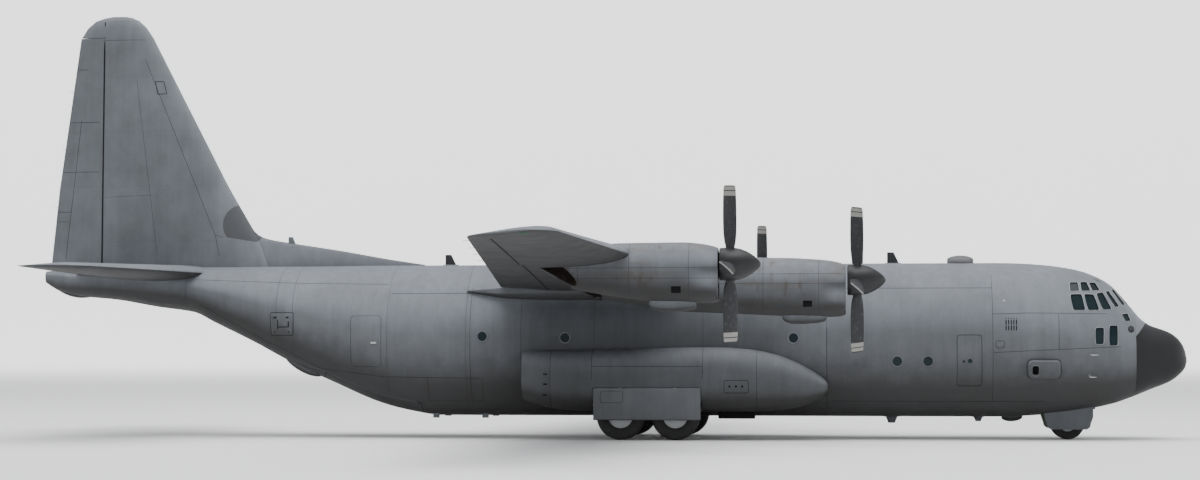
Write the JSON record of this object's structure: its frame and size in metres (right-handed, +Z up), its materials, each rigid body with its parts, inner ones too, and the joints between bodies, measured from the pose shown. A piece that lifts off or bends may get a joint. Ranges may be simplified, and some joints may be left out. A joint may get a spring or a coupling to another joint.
{
  "type": "military transport plane, 1:2 scale model",
  "caption": "Grey four-turboprop high-wing military transport plane on its gear, 1:2 scale model, with turning propellers, steered nose wheels, working control surfaces, rear ramp and doors.",
  "frame": {"origin": "on the ground under the middle of the bounding box", "axes": "+X forward to the nose, +Y to the left wing tip, +Z up"},
  "size_m": [17.465, 20.205, 6.54],
  "materials": {
    "body_grey": "matte, weathered",
    "radome_grey": "matte",
    "dark_glass": "smooth",
    "tyre_rubber": "matte",
    "engine_metal": "dull",
    "blade_grey": "satin",
    "bare_steel": "satin",
    "inner_green": "matte"
  },
  "bodies": {
    "airframe": {"aft_fuselage": "body_grey", "cargo_floor": "inner_green", "centre_fuselage": "body_grey", "centre_wing": "body_grey", "cockpit_glazing": "dark_glass", "emergency_door": "body_grey", "fin": "body_grey", "flight_deck": "inner_green", "forward_fuselage": "body_grey", "left_flap": "body_grey", "left_inner_engine": "engine_metal", "left_inner_nacelle": "body_grey", "left_main_gear_legs": "bare_steel", "left_outer_engine": "engine_metal", "left_outer_nacelle": "body_grey", "left_paratroop_door": "body_grey", "left_sponson": "body_grey", "left_wing": "body_grey", "nose_gear_bay": "body_grey", "radome": "radome_grey", "right_flap": "body_grey", "right_inner_engine": "engine_metal", "right_inner_nacelle": "body_grey", "right_main_gear_legs": "bare_steel", "right_outer_engine": "engine_metal", "right_outer_nacelle": "body_grey", "right_paratroop_door": "body_grey", "right_sponson": "body_grey", "right_wing": "body_grey", "tail_cone": "body_grey", "tailplane": "body_grey"},
    "left_outer_propeller": {"left_outer_propeller": "blade_grey"},
    "left_inner_propeller": {"left_inner_propeller": "blade_grey"},
    "right_inner_propeller": {"right_inner_propeller": "blade_grey"},
    "right_outer_propeller": {"right_outer_propeller": "blade_grey"},
    "left_aileron": {"left_aileron": "body_grey"},
    "left_elevator": {"left_elevator": "body_grey"},
    "left_rear_main_wheel": {"left_rear_main_wheel": "tyre_rubber"},
    "left_front_main_wheel": {"left_front_main_wheel": "tyre_rubber"},
    "left_main_gear_door": {"left_main_gear_door": "body_grey"},
    "right_aileron": {"right_aileron": "body_grey"},
    "right_elevator": {"right_elevator": "body_grey"},
    "right_rear_main_wheel": {"right_rear_main_wheel": "tyre_rubber"},
    "right_front_main_wheel": {"right_front_main_wheel": "tyre_rubber"},
    "right_main_gear_door": {"right_main_gear_door": "body_grey"},
    "rudder": {"rudder": "body_grey"},
    "nose_gear_leg": {"nose_gear_leg": "bare_steel"},
    "nose_wheels": {"nose_wheels": "tyre_rubber"},
    "cargo_ramp": {"cargo_ramp": "body_grey"},
    "cargo_door": {"cargo_door": "body_grey"},
    "crew_door": {"crew_door": "body_grey"}
  },
  "joints": [
    {"name": "left_outer_propeller_spin", "type": "hinge", "parent": "airframe", "child": "left_outer_propeller", "pos_m": [2.2425, 5.12, 2.44], "axis": [1, 0, 0], "continuous": true},
    {"name": "left_inner_propeller_spin", "type": "hinge", "parent": "airframe", "child": "left_inner_propeller", "pos_m": [3.8825, 2.49, 2.305], "axis": [1, 0, 0], "continuous": true},
    {"name": "right_inner_propeller_spin", "type": "hinge", "parent": "airframe", "child": "right_inner_propeller", "pos_m": [3.8825, -2.49, 2.305], "axis": [1, 0, 0], "continuous": true},
    {"name": "right_outer_propeller_spin", "type": "hinge", "parent": "airframe", "child": "right_outer_propeller", "pos_m": [2.2425, -5.12, 2.44], "axis": [1, 0, 0], "continuous": true},
    {"name": "left_aileron_hinge", "type": "hinge", "parent": "airframe", "child": "left_aileron", "pos_m": [-0.44432, 5.875, 2.48761], "axis": [0.0598, 0.9977, 0.0313], "range_deg": [-15, 25]},
    {"name": "left_elevator_hinge", "type": "hinge", "parent": "airframe", "child": "left_elevator", "pos_m": [-7.45, 0.575, 2.5], "axis": [0, 1, 0], "range_deg": [-15, 30]},
    {"name": "left_rear_main_wheel_spin", "type": "hinge", "parent": "airframe", "child": "left_rear_main_wheel", "pos_m": [0.41, 1.0875, 0.355], "axis": [0, 1, 0], "continuous": true},
    {"name": "left_front_main_wheel_spin", "type": "hinge", "parent": "airframe", "child": "left_front_main_wheel", "pos_m": [1.22, 1.0875, 0.355], "axis": [0, 1, 0], "continuous": true},
    {"name": "left_main_gear_door_hinge", "type": "hinge", "parent": "airframe", "child": "left_main_gear_door", "pos_m": [0.0275, 1.3575, 0.75], "axis": [1, 0, 0], "range_deg": [0, 75]},
    {"name": "right_aileron_hinge", "type": "hinge", "parent": "airframe", "child": "right_aileron", "pos_m": [-0.44432, -5.875, 2.48761], "axis": [-0.0598, 0.9977, -0.0313], "range_deg": [-25, 15]},
    {"name": "right_elevator_hinge", "type": "hinge", "parent": "airframe", "child": "right_elevator", "pos_m": [-7.45, -0.575, 2.5], "axis": [0, 1, 0], "range_deg": [-15, 30]},
    {"name": "right_rear_main_wheel_spin", "type": "hinge", "parent": "airframe", "child": "right_rear_main_wheel", "pos_m": [0.41, -1.0875, 0.355], "axis": [0, 1, 0], "continuous": true},
    {"name": "right_front_main_wheel_spin", "type": "hinge", "parent": "airframe", "child": "right_front_main_wheel", "pos_m": [1.22, -1.0875, 0.355], "axis": [0, 1, 0], "continuous": true},
    {"name": "right_main_gear_door_hinge", "type": "hinge", "parent": "airframe", "child": "right_main_gear_door", "pos_m": [0.0275, -1.3575, 0.75], "axis": [-1, 0, 0], "range_deg": [0, 75]},
    {"name": "rudder_hinge", "type": "hinge", "parent": "airframe", "child": "rudder", "pos_m": [-7.825, 0, 2.71], "axis": [0, 0, 1], "range_deg": [-30, 30]},
    {"name": "nose_steering", "type": "hinge", "parent": "airframe", "child": "nose_gear_leg", "pos_m": [6.975, 0, 0.7], "axis": [0, 0, 1], "range_deg": [-60, 60]},
    {"name": "nose_wheels_spin", "type": "hinge", "parent": "nose_gear_leg", "child": "nose_wheels", "pos_m": [6.975, 0, 0.245], "axis": [0, 1, 0], "continuous": true},
    {"name": "cargo_ramp_hinge", "type": "hinge", "parent": "airframe", "child": "cargo_ramp", "pos_m": [-2.65, 0, 0.39718], "axis": [0, -1, 0], "range_deg": [0, 30]},
    {"name": "cargo_door_hinge", "type": "hinge", "parent": "airframe", "child": "cargo_door", "pos_m": [-6.21, 0, 1.90203], "axis": [0, -1, 0], "range_deg": [0, 25]},
    {"name": "crew_door_hinge", "type": "hinge", "parent": "airframe", "child": "crew_door", "pos_m": [6.09, 0.78725, 0.55], "axis": [-1, 0, 0], "range_deg": [0, 105]}
  ],
  "couplings": [
    {"joint": "right_aileron_hinge", "follows": "left_aileron_hinge", "ratio": -1},
    {"joint": "right_elevator_hinge", "follows": "left_elevator_hinge", "ratio": 1}
  ]
}
